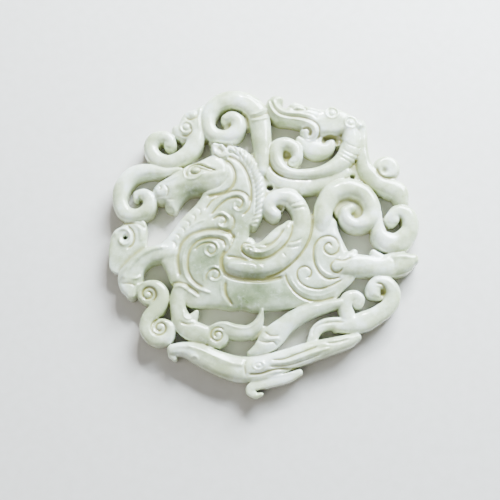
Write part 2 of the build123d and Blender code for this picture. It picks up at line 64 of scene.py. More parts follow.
# Rounded scrolls. Each has its crest as a share of CREST, then its stations from end to end:
# across, up, half the width as a share of SCROLL_HALF.
SCROLLS = {
    "top_scroll": (0.96, (-0.7, 17.6, 0.7), (-0.5, 20.4, 1), (-0.5, 23.5, 1.15), (-0.8, 27, 1.3), (-1.2, 31, 1.4),
        (-2.3, 34.4, 1.45), (-5, 36.5, 1.45), (-8.6, 37.2, 1.4), (-12.1, 36, 1.3), (-14.4, 33.3, 1.1),
        (-14.7, 30.2, 1), (-13.4, 27.8, 1), (-10.9, 27, 0.95), (-8.3, 27.5, 1), (-6.8, 29.4, 1), (-7, 31.4, 0.95),
        (-8.6, 32.5, 0.8), (-10.2, 31.9, 0.6)),
    "dragon_neck": (0.98, (21.8, 30.6, 0.9), (22.3, 27.5, 1.15), (22, 23.8, 1.35), (20.3, 20.7, 1.25),
        (17.3, 18.4, 1.05), (13.5, 17, 0.85), (9.5, 16.6, 0.75), (6.2, 17, 0.75), (3.9, 18.6, 0.9),
        (2.7, 21.3, 1.05), (3.3, 24, 1.05), (5.6, 24.9, 0.95), (7.8, 23.6, 0.9), (8.3, 21.3, 0.75),
        (7.1, 19.9, 0.55)),
    "neck_border": (0.82, (0.4, 19.4, 0.5), (1.5, 16.6, 0.65), (4.2, 14.6, 0.75), (8.2, 13.7, 0.9),
        (12.6, 13.9, 0.95), (17, 15.4, 0.85), (20.8, 17.4, 0.6)),
    "nape_border": (0.88, (25, 30.4, 0.65), (25.2, 27.6, 0.7), (25.1, 24.4, 0.75), (25.2, 21, 0.9),
        (26, 17.8, 1.1), (28.3, 14.9, 1.2), (31.1, 13.5, 1.15), (33.9, 12.1, 1.2), (34.8, 9.2, 0.75)),
    "upper_left_scroll": (0.92, (-18, 32, 0.9), (-17.7, 28, 1.15), (-18.2, 24.6, 1.15), (-20.6, 21.7, 1.05),
        (-24.2, 20, 1), (-27.6, 20.9, 1.05), (-29.3, 23.8, 0.95), (-28.2, 26.3, 0.95), (-25.8, 27, 0.8),
        (-24.2, 25.9, 0.7), (-24.5, 24.4, 0.5)),
    "left_scroll": (0.9, (-21.4, 18, 0.3), (-25.2, 17.3, 0.6), (-29.8, 17.8, 0.9), (-33.8, 16.6, 1.05),
        (-36.2, 13.2, 1.05), (-36.6, 9.6, 0.95), (-35.2, 6.6, 1), (-32.2, 6, 0.8), (-29.6, 7.3, 0.9),
        (-29, 9.8, 0.9), (-30.4, 11.4, 0.75), (-32.2, 11.3, 0.55), (-32.6, 10.3, 0.35)),
    "horse_tail": (1, (13.4, -1, 0.7), (14, 2, 1), (14.4, 5, 1.2), (15.1, 8.4, 1.25), (17.3, 11.7, 1.3),
        (21.2, 13, 1.3), (25.1, 11.3, 1.2), (26.9, 7.8, 1.15), (26.1, 4.5, 1.15), (23, 3.2, 0.9), (20.6, 4.4, 0.9),
        (20.2, 6.5, 0.8), (21.5, 7.6, 0.6)),
    "right_scroll": (0.92, (29, 6.6, 0.2), (28.9, 4.6, 0.33), (28.5, 2.6, 0.8), (28.6, 0.7, 1.1), (30, -0.9, 1.3),
        (32, -1.5, 1.35), (34.2, -0.7, 1.35), (36.2, 2.4, 1.15), (35.7, 5.7, 1.15), (33.4, 6.8, 0.9),
        (31.9, 5.5, 0.7), (32.4, 4.2, 0.5)),
    "wing": (1, (-8.4, -7.4, 0.9), (-5.6, -7.9, 1.1), (-1.8, -8.2, 1.05), (2.2, -7.3, 1.1), (5.8, -4.6, 1.2),
        (8.3, -0.6, 1.25), (9.2, 3.8, 1.2), (8.6, 7.6, 1.2), (6.4, 10.3, 1.15), (3.5, 10.6, 1.05),
        (1.4, 9.2, 0.95), (1, 7.3, 0.95), (2.3, 6.1, 0.9)),
    "wing_leaf": (0.96, (-4.6, -3.1, 0.75), (-2.4, -3.6, 1), (0.6, -2.9, 1.3), (3.1, -0.8, 1.4), (4.9, 1.2, 1.25),
        (6.1, 2.9, 0.8)),
    "mane": (0.93, (-9, 23.7, 0.4), (-6.4, 22.7, 0.65), (-3.9, 20.2, 0.75), (-2.1, 16.9, 0.75), (-1.3, 13.2, 0.7),
        (-1.3, 9.6, 0.65), (-1.6, 6, 0.55), (-2.9, 3.2, 0.5)),
    "raised_foreleg": (0.88, (-23, -3.6, 1.2), (-26, -3.9, 1.15), (-29.3, -4.9, 1.1), (-31.9, -7.2, 1.2),
        (-33.2, -10, 1.55), (-33.3, -12.6, 1.25), (-32.9, -14.4, 0.7)),
    "folded_foreleg": (0.88, (-20.4, -12.6, 1.1), (-21.4, -15.6, 1), (-21.2, -18.3, 1), (-20.2, -21, 1.25),
        (-18.1, -23.1, 1.3), (-15, -24.4, 1.25)),
    "leg_tuft": (0.8, (-19, -21.2, 0.8), (-17.7, -20.2, 0.65), (-16.8, -18.8, 0.3)),
    "cloud_scroll": (0.86, (-0.8, -18.4, 0.25), (-1.7, -21.4, 0.6), (-4, -23.5, 0.85), (-7.2, -23.6, 0.95),
        (-10.3, -22.9, 0.95), (-12.8, -23.9, 0.85), (-13, -26, 0.65), (-11.3, -26.7, 0.5)),
    "foot_scroll": (0.88, (-30.5, -15.2, 0.4), (-30.7, -13.6, 0.45), (-29.1, -12.2, 0.6), (-26.6, -12.6, 0.85),
        (-25.3, -15, 0.95), (-26.4, -17.9, 1), (-28.4, -20.5, 0.95), (-28.5, -23.4, 0.95), (-26.4, -25.4, 0.95),
        (-23.9, -24.8, 0.9), (-23.3, -22.6, 0.7), (-24.7, -21.4, 0.5), (-25.8, -22.2, 0.35)),
    "hind_leg": (0.9, (18.4, -16.5, 0.6), (12, -18.2, 0.85), (7.6, -20, 1.05), (4.6, -22.2, 1.15),
        (2.3, -24.3, 1.35), (0.3, -26.3, 1.25), (-1.7, -27.9, 0.85), (-3.8, -28.9, 0.4)),
    "rear_leg": (0.92, (17.5, -7.6, 1.1), (21, -7, 1.4), (24.4, -7.1, 1.35), (27.8, -7.5, 1.3), (31.2, -7.1, 1.55),
        (34.6, -6.3, 1.4), (36.5, -5.7, 0.8)),
    "hock_tuft": (0.85, (20.2, -6, 1), (21.4, -4.9, 0.95), (22.1, -3.8, 0.45)),
    "ankle_tuft": (0.85, (28.8, -6.2, 0.9), (27.7, -5, 0.75), (26.8, -3.8, 0.4)),
    "lower_right_scroll": (0.88, (17.4, -22.6, 0.6), (20, -22.1, 1.05), (23.6, -21.2, 1.25), (27.2, -19.5, 1.1),
        (30.2, -17.1, 1.05), (31.3, -14.2, 0.95), (29.9, -11.7, 0.9), (27.3, -11.6, 0.85), (26.1, -13.4, 0.75),
        (27.2, -14.6, 0.45)),
    "lower_right_curl": (0.86, (20.4, -21, 0.9), (19.6, -17.9, 0.95), (20.1, -15.5, 0.85), (21.9, -14.8, 0.75),
        (23.1, -15.8, 0.65), (22.7, -17, 0.45)),
    "tail_feather": (0.8, (11.1, -26, 0.6), (12.4, -23.2, 0.7), (15, -21.7, 0.75), (19.2, -21.5, 0.8)),
    "low_dragon": (0.93, (-22.3, -28, 0.75), (-19.2, -27.9, 0.95), (-15.6, -29.2, 1.3), (-11.2, -31.2, 1.45),
        (-6.2, -32.6, 1.55), (-1, -32.2, 1.45), (4.5, -30.6, 1.35), (10, -28.7, 1.25), (15.4, -27.2, 1.05),
        (20, -25.9, 0.85), (22.2, -25, 0.5)),
    "chin_curl": (0.78, (8, -33.4, 0.45), (5.4, -34.6, 0.6), (1.6, -35.5, 0.65), (-2, -36.4, 0.7),
        (-3.7, -37.6, 0.6), (-2.4, -38.8, 0.4), (-1, -38.5, 0.25)),
    "jaw_tuft": (0.8, (8.9, 26.3, 0.45), (10.9, 24.5, 0.9), (13.7, 23.6, 1.1), (16.3, 24, 0.85), (17.4, 25.4, 0.5)),
    "snout_curl": (0.8, (-21, -28.2, 0.6), (-22.4, -28.9, 0.6), (-21.9, -30.1, 0.35)),
}
FLAT_POWER, ROUND_POWER = 2.4, 0.62  # their cross-section: a little flat on top, steep at the sides
THINNEST = 0.35         # the share of SCROLL_HALF below which a scroll gets no lower
THIN_LOSS = 0.45        # how much of its rise a scroll loses as it narrows

# Scrolls that rise out of the horse's body: over how many millimetres, and from how deep
RISES_OUT = {"horse_tail": 7.0}
SINK = 2.2

# Broad forms. Each has its crest as a share of CREST, the share of FORM_REACH that is rounded off,
# then its outline: across, up.
FORMS = {
    "horse_neck": (0.84, 1, (-12, 20.6), (-8.4, 22.8), (-4.9, 20.6), (-2.7, 16.4), (-1.9, 11.4), (-2, 6.4),
        (-3.7, 2), (-5, -3), (-10, -9), (-17, -13.4), (-22.4, -12.6), (-24.6, -8.4), (-26.6, -5), (-26.2, -2),
        (-23.8, 0.9), (-20.9, 5), (-17.4, 8.8), (-14.8, 13.4)),
    "horse_body": (0.8, 1, (-4.4, 0.2), (-1.7, -1.7), (1.3, 0), (5, 2.8), (9.2, 6), (13, 6.4), (17.4, 5),
        (18.4, 1.6), (20.4, -2.9), (22.6, -6.4), (22.2, -10.2), (19.3, -13.2), (16.6, -15.9), (11.4, -17),
        (5.8, -17.9), (0.8, -18.2), (-2.4, -18.7), (-5.6, -18), (-8.6, -18.1), (-13, -17.5), (-18.9, -17.3),
        (-20.6, -12.8), (-14, -3)),
    "horse_head": (1, 0.9, (-13.2, 22), (-16.8, 20.3), (-20.5, 18.6), (-24.5, 16.1), (-27.2, 14.3), (-28.4, 12.2),
        (-27.9, 10.2), (-26.7, 9), (-25.5, 8.8), (-25.1, 7.5), (-24, 6.8), (-22.4, 6.7), (-21.4, 8.6), (-19, 11.2),
        (-15, 11.5), (-11.4, 12.6), (-9, 15.2), (-8.9, 18.6), (-10.6, 21.4)),
    "horse_ear": (1, 0.5, (-13.4, 21.4), (-14, 24.2), (-13, 25), (-11, 24.8), (-9.5, 23.4), (-9, 21.6),
        (-10.2, 20.3), (-12, 20.7)),
    "dragon_head": (0.98, 0.75, (0.2, 35), (0.8, 37.3), (2.7, 38.5), (4.9, 37.9), (5, 36.9), (4.3, 35.8),
        (5.4, 35), (6.3, 35.8), (7.6, 36.7), (10.5, 35.7), (15.2, 34.6), (17.4, 35.5), (21, 33.9), (25, 31.3),
        (26.2, 29.6), (24.4, 28.2), (19.6, 27.6), (17.4, 27), (14.4, 27), (12.2, 25.9), (10, 26.5), (9.2, 28.4),
        (9.4, 29.8), (6.5, 30.6), (3.6, 31), (1.2, 32.4)),
    "bird_head": (0.74, 0.6, (-36, 3.2), (-34.2, 5.2), (-30.6, 4.8), (-29.5, 2.4), (-29.6, -0.8), (-29.4, -3.4),
        (-32, -6.4), (-35.4, -9.2), (-38.2, -8.2), (-38.8, -4.8), (-38.7, -0.6), (-37.6, 1.9)),
    "upper_left_crest": (0.88, 0.6, (-24, 28), (-23.7, 29.9), (-22.4, 30.4), (-21.6, 32.3), (-20.2, 34.1),
        (-18, 34.8), (-15.8, 36), (-14.6, 34), (-15.6, 29.6), (-17.6, 26.6), (-22.4, 26.4)),
}

# How far the edges of the fuller forms fall below their crests, past the ordinary rounding
FULLNESS = {
    "horse_head": 0.9, "dragon_head": 0.5, "bird_head": 0.4, "upper_left_crest": 0.4, "horse_body": 0.5,
    "horse_neck": 0.3,
}

# The horse's face falls away from a line along its brow: across and up of the line's ends, the slope,
# how far below the line it starts, and how far it goes on.
BROW = ((-28.0, 13.6), (-12.0, 21.8))
FACE_SLOPE, FACE_START, FACE_REACH = 0.11, 3.0, 8

# Low ground between forms that touch: middle across and up, half its width and length, turn in degrees.
WEBS = (
    (1.7, 14.2, 2.6, 3.2, 40), (23.6, 17, 3.4, 3, 0), (6, 20.7, 3, 3.1, 0), (21.2, 7.5, 3.9, 3.1, 0),
    (-8.8, 30, 1.7, 2.2, 0), (-27.6, -14.8, 3.2, 2.4, 0), (-25.4, -22.8, 2.6, 2.6, 0), (-16.6, -26.2, 2.2, 1.2, 0),
    (28, -13.2, 2.6, 2.6, 0), (3.2, 8.2, 1.8, 1.4, 0), (8.5, 12.2, 1.5, 1.1, 0), (14.4, 12.7, 1.4, 1, 0),
    (26.4, 13.3, 1.4, 1.3, 0), (0.3, 11.4, 1, 1.4, 0), (-15.9, 27.1, 1.2, 0.9, 0), (-13.2, 25.6, 1.2, 0.8, 0),
    (-2.9, 21.7, 0.8, 1.2, 0), (-9.6, 24.9, 1.6, 0.6, 0), (-20.8, 26.5, 1.2, 0.9, 0), (15.2, 26.3, 3.4, 1.2, 4),
    (18.9, 26.3, 1.4, 1.7, 0), (-30.6, -12.4, 1.2, 1.6, 0), (-1.8, -23.8, 2.5, 1, 36), (-4.8, 31.8, 1.2, 2.3, 14),
)

# Round bosses: the upper right knob, the heart of the cloud scroll, and the balls that the scrolls end in.
# Each is its middle across and up, its radius, and its crest as a share of CREST.
DOMES = (
    (31, 18.1, 3.55, 0.88), (-11.7, -24.6, 3, 0.84), (-28.6, -14.6, 2.6, 0.8), (-25.3, -22.5, 2, 0.82),
    (31.9, 4.9, 1.9, 0.86), (26.5, -13.6, 1.9, 0.84), (22.6, -16.5, 1.5, 0.82), (13.4, 25.6, 2.2, 0.76),
    (-24.3, 24.9, 1.7, 0.84),
)

# Lines of the relief, form by form. Each is how far it stands up (or is cut down, when negative),
# half its width, and its points: across, up.
LINES = {
    "horse_neck_scrolls": (
        (0.24, 0.34, (-14.2, 6), (-12.5, 8.2), (-10.4, 10), (-7.9, 11), (-5.9, 10.8), (-4.8, 9.3), (-5.1, 7.4),
         (-6.6, 6.6), (-7.9, 7.5), (-7.6, 8.8)),
        (-0.36, 0.38, (-13.6, 5.6), (-12, 7.6), (-9.8, 9.5), (-7.7, 10.2), (-6.2, 9.9), (-5.6, 8.8), (-6.4, 7.5),
         (-7.1, 8)),
        (-0.36, 0.42, (-15, 7.2), (-12.8, 9.9), (-9.6, 11.6), (-6.6, 12), (-4.2, 10.6), (-3.9, 7.6), (-5.6, 5.6)),
        (0.24, 0.34, (-13.6, 5.2), (-12, 6.1), (-10.2, 5.9), (-8.9, 4.6), (-9.1, 3), (-10.4, 2.3), (-11.7, 3.2),
         (-11.3, 4.4)),
        (-0.32, 0.38, (-13.2, 4.4), (-11.8, 5.3), (-10.3, 5.1), (-9.8, 4), (-10.6, 3.3)),
        (-0.27, 0.51, (-8.4, 5.8), (-7.7, 3.6), (-8.8, 1.6), (-10.8, 1.3)),
        (0.2, 0.36, (-6.9, 0.7), (-7.4, -1), (-8.1, -2.8), (-9, -4.6)),
        (-0.26, 0.3, (-7.6, 0.6), (-8.1, -1.1), (-8.8, -2.8), (-9.7, -4.4)),
    ),
    "shoulder": (
        (0.28, 0.41, (-8.6, -2.4), (-9.2, -0.6), (-10.9, 0.4), (-13.6, 0.6), (-16.4, 0), (-18.6, -1.5), (-20, -4),
         (-20.2, -7.4), (-19.2, -10.6), (-16.8, -13), (-13.4, -14.2)),
        (-0.41, 0.77, (-7.6, -0.6), (-9, 1.2), (-12, 1.9), (-15.6, 1.6), (-18.8, 0.3), (-21, -2.2), (-21.6, -6),
         (-21, -10)),
        (-0.36, 0.51, (-9.8, -2.6), (-10.6, -0.9), (-13.6, -0.4), (-16.2, -1), (-18.1, -2.6), (-19, -5),
         (-19, -8.4), (-17.6, -11.2), (-15.2, -12.8)),
        (0.26, 0.28, (-18, -3.1), (-16.9, -1.8), (-15.5, -1.2), (-13.8, -1), (-12.3, -1.6), (-11.6, -2.9),
         (-12, -4.4), (-13.3, -5.1), (-14.7, -4.4), (-15, -3), (-14, -2.2), (-13, -2.8)),
        (-0.28, 0.26, (-17.4, -3.4), (-16.5, -2.4), (-15.2, -1.8), (-13.6, -1.6), (-12.5, -2.2), (-12.2, -3.2),
         (-12.7, -4.1), (-13.6, -4.4), (-14.3, -3.7), (-14, -2.9)),
        (0.26, 0.27, (-15.2, -11.4), (-15, -9.3), (-13.9, -8), (-12.5, -7.7), (-11.1, -8.4), (-10.7, -9.8),
         (-11.6, -11), (-13, -11.1), (-13.7, -10.2), (-13.2, -9.3)),
        (-0.28, 0.25, (-14.6, -11), (-14.3, -9.5), (-13.5, -8.6), (-12.4, -8.3), (-11.5, -8.9), (-11.3, -9.8),
         (-12, -10.5), (-12.9, -10.3), (-12.9, -9.8)),
        (0.16, 0.22, (-18.2, -11.2), (-16.6, -12.8), (-14.4, -13.4)),
        (-0.54, 0.68, (-9.9, -3.4), (-10.8, -5.6), (-10.6, -8), (-9, -9.9), (-5, -10.9), (0, -11), (4.2, -10.2)),
    ),
    "neck_scales": (
        (0.2, 0.4, (-15, 4.4), (-16.9, 3.6), (-18.9, 2.2), (-20.6, 0.2), (-21.7, -2.4), (-22, -4.6)),
    ),
    "horse_face": (
        (-0.55, 0.3, (-19.6, 15.6), (-19.9, 17.2), (-19.1, 18.5), (-17.4, 19), (-15.7, 18.5), (-14.3, 17.8),
         (-12.4, 17.2)),
        (0.25, 0.32, (-20.2, 15.2), (-20.5, 17.2), (-19.6, 18.9), (-17.5, 19.5), (-15.5, 19.1), (-13.9, 18.3)),
        (-0.34, 0.24, (-18.9, 17.1), (-18.4, 17.9), (-17.5, 18.2), (-16.6, 17.8), (-16.3, 17.1), (-16.9, 16.4),
         (-17.8, 16.2), (-18.6, 16.4), (-18.9, 17.1)),
        (-0.4, 0.2, (-16.6, 17.9), (-15.6, 17.5), (-14.4, 17.1), (-13, 16.9)),
        (0.25, 0.3, (-19.9, 15.1), (-18.6, 14.8), (-17.1, 15.2), (-16, 16), (-15, 16.5)),
        (0.22, 0.45, (-25.7, 14.4), (-24, 14.7), (-22, 15.8)),
        (-0.35, 0.32, (-26.9, 13.3), (-26.3, 13), (-26.2, 12.3), (-26.8, 11.9)),
        (-0.22, 0.35, (-25.2, 13.4), (-24.5, 12.5), (-24.3, 11.2), (-24.9, 10)),
        (-0.18, 0.28, (-27.4, 10.4), (-26.2, 10.3), (-25, 10.5)),
        (-0.2, 0.3, (-24.6, 9.7), (-23.6, 9.6), (-22.8, 9.6)),
        (0.16, 1, (-16.2, 15.4), (-13.6, 16), (-11, 16.6), (-9.6, 16.8)),
        (-0.14, 1.2, (-23, 11.9), (-19, 12.6), (-15.6, 12.9), (-12, 13.9)),
        (-0.5, 0.7, (-9.9, 20.2), (-8.4, 18.8), (-7.6, 16.6), (-7.8, 14.2), (-9.2, 12.3), (-11.6, 11.2),
         (-14.6, 10.6)),
        (-0.35, 0.24, (-13.3, 21.8), (-12.2, 21.2), (-11.2, 20.6)),
        (-0.3, 0.22, (-12.4, 22), (-11.6, 21.6), (-10.9, 21.1)),
    ),
    "horse_ear": (
        (0.3, 0.36, (-13.2, 21.8), (-13.6, 23.8), (-12.8, 24.6), (-11.1, 24.4), (-9.9, 23.2), (-9.5, 21.8),
         (-10.2, 20.9)),
        (-0.7, 1.05, (-12.4, 23.4), (-11.4, 23), (-10.7, 21.9)),
    ),
    "forelock": (
        (-0.3, 0.22, (-9, 24.9), (-7.4, 24.2), (-5.8, 22.9), (-4.6, 21.2)),
        (-0.3, 0.22, (-9.2, 24.2), (-7.8, 23.5), (-6.4, 22.2), (-5.4, 20.6)),
        (-0.3, 0.22, (-9.4, 23.4), (-8.2, 22.8), (-7, 21.6), (-6.2, 20.3)),
    ),
    "mane_border": (
        (0.25, 0.35, (-9.4, 22.2), (-6.9, 21.3), (-4.9, 19.2), (-3.4, 16.2), (-2.7, 12.8), (-2.7, 9), (-3, 5.6)),
        (-0.4, 0.5, (-9.4, 21.4), (-7.2, 20.4), (-5.5, 18.5), (-4.2, 15.8), (-3.5, 12.6), (-3.5, 9)),
    ),
    "wing": (
        (-0.3, 0.3, (6.9, 3.9), (6.5, 0.9), (5.4, -1.4), (3.6, -3.3), (0.8, -5.1), (-2.4, -5.6), (-4.9, -4.6),
         (-5.9, -2.9), (-5.2, -1.6), (-3.8, -1.8), (-3.2, -2.5)),
        (0.2, 0.26, (-4.2, -2.7), (-3.2, -3.9), (-1, -4.2), (1.6, -3.3), (3.8, -1.4), (5.2, 0.8), (5.9, 2.8)),
        (-0.26, 0.24, (-3, -2.9), (-1.2, -3.3), (1, -2.6), (3, -0.9), (4.4, 1.1), (5.2, 2.7)),
        (-0.35, 0.5, (-0.6, -2.6), (1.4, -1.9), (3.2, -0.1), (4.5, 1.9)),
        (0.3, 0.32, (-4.9, -3.6), (-5.2, -2.8), (-4.5, -2.2), (-3.5, -2.3), (-2.8, -2.9)),
        (-0.35, 0.26, (-4.5, -3.4), (-4.4, -2.9), (-3.7, -2.8), (-3.2, -3.3)),
        (-0.5, 0.42, (11.6, 9.6), (11.9, 6.4), (11.7, 2.4), (10.8, -0.9), (8.9, -4.2), (6.2, -7), (3.2, -9.3),
         (0, -10.5)),
        (-0.22, 0.24, (6.2, 8.2), (7.4, 8.4), (9.2, 8.9), (10.6, 8.8)),
        (-0.22, 0.24, (6.2, 7.1), (7.8, 7.1), (9.6, 7.4), (10.9, 7.2)),
        (0.2, 0.3, (6.1, 7.6), (7.6, 7.7), (9.4, 8.1), (10.8, 8)),
        (-0.22, 0.24, (5.9, -1.6), (7.4, -1.4), (9.2, -0.6)),
        (-0.22, 0.24, (5.1, -2.7), (6.6, -3), (8.6, -2.6)),
        (0.2, 0.3, (5.5, -2.2), (7, -2.2), (9, -1.6)),
        (-0.25, 0.25, (4.3, -4.1), (5.1, -5.4)),
        (-0.2, 0.25, (-3.6, -6.4), (-2.6, -7), (-2.2, -8)),
        (-0.2, 0.25, (-1.6, -6.6), (-0.7, -7.2), (-0.4, -8.2)),
        (-0.3, 0.4, (-9.6, -5), (-8, -5.1), (-6.2, -5.4), (-4.4, -6.3)),
    ),
    "haunch": (
        (-0.4, 0.36, (18.4, -2.2), (17.7, -0.5), (15.9, 0.3), (13.7, -0.3), (12.3, -2.1), (11.9, -4.4),
         (12.3, -7.1), (13.7, -9.6), (15.7, -10.7), (18.4, -10.3)),
        (-0.4, 0.34, (18.4, -2.2), (17.9, -3.8), (16.2, -4.6), (14.7, -3.5), (14.8, -2.1), (15.9, -1.5),
         (16.6, -2.4)),
        (0.18, 0.34, (13.6, -1.4), (12.9, -3), (12.7, -5), (13.2, -7.4), (14.6, -9.1), (16.4, -9.9)),
        (-0.38, 0.36, (21.4, -5.2), (19.2, -6.2), (17.4, -5.9), (16.1, -7.3), (16.5, -8.7), (17.9, -9.1),
         (19, -8.2)),
        (-0.36, 0.34, (10.1, -10.4), (11.1, -9.9), (11.2, -8.5), (9.8, -7.5), (8.2, -8.2), (7.8, -9.7),
         (8.5, -11.5), (10.4, -12.8), (13.2, -13.2), (15.9, -12.4), (18.9, -10.8)),
        (-0.3, 0.4, (4.9, -9.4), (5.6, -11.8), (7.5, -14.3), (10, -15.8), (13.4, -16.2), (16.8, -15.2)),
        (0.14, 0.34, (6.1, -9.8), (6.8, -11.8), (8.4, -13.6), (10.8, -14.7), (13.8, -14.8), (17, -13.6)),
        (-0.45, 0.5, (-9.7, -11.4), (-9.8, -13.4), (-9.3, -15.2), (-8, -17.2)),
        (0.16, 0.38, (-10.9, -11.8), (-10.8, -14), (-9.9, -16.2)),
    ),
    "dragon_head": (
        (0.3, 0.42, (0.9, 36.6), (1.5, 34.6), (3, 32.6), (5.2, 31.6), (8, 31.2), (10.8, 30.5), (12.7, 29.1),
         (13.2, 27.4), (12.6, 26.1), (11.3, 25.8), (10.2, 26.6)),
        (-0.35, 0.36, (1.7, 36.4), (2.3, 34.6), (3.8, 33), (6.2, 32.2), (9.2, 31.9), (11.9, 31.1), (13.8, 29.4),
         (14.1, 27.6), (13.5, 26)),
        (0.22, 0.35, (2.5, 36.4), (3.1, 34.9), (4.6, 33.6), (7, 32.9), (10, 32.7), (12.9, 31.9)),
        (-0.9, 0.65, (9.6, 29), (11, 29), (11.8, 28.1), (11.5, 27)),
        (-0.3, 0.3, (7, 34.2), (8.2, 35), (9.6, 34.9), (10.8, 34), (9.4, 33.7), (8, 33.7), (7, 34.2)),
        (-0.2, 0.3, (10.8, 34), (12.6, 33.7), (14.4, 33.1)),
        (-0.2, 0.3, (9.4, 33), (11.6, 32.6), (13.6, 31.6)),
        (-0.3, 0.35, (6, 36), (6.4, 35), (7.2, 34.4)),
        (-0.5, 0.6, (15.2, 26.6), (17.2, 27.1), (19.2, 26.4), (20, 25)),
        (-0.8, 0.7, (15.1, 25.2), (15.3, 26.2), (16.6, 26.9), (18.2, 26.4), (18.7, 25)),
        (-0.2, 0.22, (19.8, 23.4), (20.9, 22.3), (22.4, 21.6), (24.2, 21.5)),
        (-0.2, 0.22, (19.2, 22.6), (20.4, 21.4), (22, 20.6), (23.8, 20.3)),
        (-0.2, 0.22, (18.6, 21.6), (20, 20.4), (21.6, 19.6), (23.4, 19.2)),
        (-0.16, 0.2, (20.3, 25.2), (21.4, 24.2), (22.9, 23.6), (24.4, 23.6)),
    ),
    "trunk": (
        (0.3, 0.38, (-3.3, 30.9), (-1.9, 31), (-0.4, 31.4), (1.2, 32.2)),
        (0.3, 0.38, (-3.9, 32.5), (-2.2, 32.8), (-0.6, 33.5), (0.4, 34.4)),
        (-0.25, 0.35, (-3.4, 31.7), (-2, 31.9), (-0.5, 32.4), (0.9, 33.3)),
        (-0.18, 0.25, (-1.6, 37), (-4, 38.4), (-6.6, 39)),
        (-0.18, 0.25, (-1.3, 35.9), (-3.6, 37.6), (-6.2, 38.4)),
        (-0.18, 0.25, (1.1, 21.8), (1.3, 19.4), (2.7, 17.2), (5, 15.9)),
        (-0.18, 0.25, (2, 21.8), (2.2, 19.8), (3.4, 18), (5.4, 16.8)),
    ),
    "low_dragon": (
        (0.25, 0.9, (-21.6, -27.3), (-19, -27.3), (-15.8, -28.2), (-12.4, -29.9), (-8.4, -31.4), (-5.2, -31.8)),
        (0.2, 0.3, (-18.9, -26.6), (-18.2, -27.3), (-17.2, -27.4)),
        (-0.1, 0.5, (-21.4, -27.8), (-18.6, -27.9), (-15.6, -28.7), (-12, -30.3), (-8.2, -31.9), (-5.4, -32.4)),
        (-0.35, 0.32, (1.6, -30.6), (4.2, -30.4), (7, -29.4), (9.8, -28.4), (12.4, -27.4)),
        (0.25, 0.35, (1.2, -31.3), (4.8, -31.1), (8.4, -30), (11.8, -28.7), (15.4, -27.8)),
        (-0.3, 0.35, (0.8, -32.2), (5, -31.9), (9.2, -30.7), (13.2, -29.2)),
        (-0.4, 0.4, (-4, -34), (-1.2, -33.8), (1.8, -32.9), (5.4, -32.6), (8.6, -32.3)),
        (-0.25, 0.35, (-4.9, -30.6), (-5, -32.4), (-4.7, -34.4)),
        (0.25, 0.4, (-4.7, -36.9), (-3.6, -35.7), (-1, -35), (3.4, -34.1), (6.6, -33.4)),
        (-0.5, 0.45, (-0.2, -38), (-1.2, -37.9), (-1.9, -38.3)),
        (-0.3, 0.35, (14.6, -26.6), (17.2, -26.4), (20, -25.6)),
    ),
    "forelegs": (
        (0.26, 0.45, (-23, -14.2), (-22.3, -12.9), (-20.6, -12.6), (-18.6, -13.8), (-16.4, -15.3)),
        (-0.36, 0.45, (-23.6, -12.3), (-22, -11.6), (-19.8, -11.9), (-17.8, -13.1), (-16.2, -14.5)),
        (0.25, 0.35, (-19.7, -18.6), (-19.6, -20.1), (-18.6, -20.6), (-17.6, -19.9), (-17.2, -19)),
        (-0.25, 0.35, (-35.4, -12), (-33.4, -11.9), (-31.6, -12.5)),
        (0.5, 0.9, (-25, -2.5), (-28.2, -3.3), (-31.2, -5.2), (-33.6, -8), (-34.9, -10.8)),
        (0.35, 0.5, (-32.6, -10.8), (-31.2, -10.5), (-30, -9.8)),
        (-0.3, 0.4, (-20.6, -21.4), (-18.8, -22), (-17.2, -21.6)),
        (-0.2, 1, (-29.8, -2.2), (-31.8, -3.8), (-34.2, -6.2), (-36.6, -8.8)),
    ),
    "cloud_scroll": (
        (0.25, 0.4, (-13.8, -22.6), (-12, -21.8), (-10, -21.7), (-7.6, -22.5), (-5.3, -22.9), (-3.2, -22.3),
         (-1.7, -20.9), (-1.1, -19.4)),
    ),
    "hind_leg": (
        (-0.3, 0.35, (-0.4, -23.6), (1.2, -24.8), (3.4, -24.6)),
        (0.2, 0.35, (-1.2, -24.6), (0.4, -25.6), (2.6, -25.4), (3.8, -26)),
        (-0.3, 0.35, (-1.9, -25.8), (0, -26.4), (1.8, -26.2), (2.8, -27.2)),
        (-0.3, 0.4, (11.2, -24.6), (11.9, -22.9), (13.4, -21.9), (16.2, -21.4), (19, -21.4)),
    ),
    "foot_scroll": (
        (0.25, 0.4, (-30.4, -16.9), (-32, -15.2), (-31.4, -12.6), (-29.2, -11.4)),
    ),
    "left_side": (
        (0.4, 0.55, (-37.6, 0.4), (-36.7, 1.9), (-35.2, 2.3), (-34, 1.5), (-33.4, 0.2), (-33.8, -1.3), (-35, -1.9),
         (-36, -1.2), (-36.2, -0.2)),
        (-0.4, 0.42, (-34.4, 3.1), (-33.2, 1.9), (-32.6, 0.2), (-32.9, -1.7), (-34.2, -2.9)),
        (0.3, 0.8, (-33, 4), (-31.4, 2.8), (-30.8, 1), (-30.9, -1)),
        (-0.3, 0.45, (-37.2, 2.8), (-35, 3.6), (-32.4, 3.6), (-30.2, 2.6)),
        (-0.3, 0.4, (-21.6, 27.2), (-20, 27), (-18.8, 28), (-19, 29.6)),
        (-0.3, 0.4, (-20.6, 32), (-19.2, 31.4), (-17.8, 31.8), (-17.2, 33.2)),
        (0.2, 0.4, (-16.6, 35), (-16.9, 31.8), (-16.8, 28.6)),
    ),
    "right_side": (
        (-0.14, 0.6, (30.6, -5), (31.7, -6.4), (31.6, -8.2), (30.6, -9.6)),
        (0.2, 0.8, (31.6, -5.2), (33.4, -5), (35.4, -5.2)),
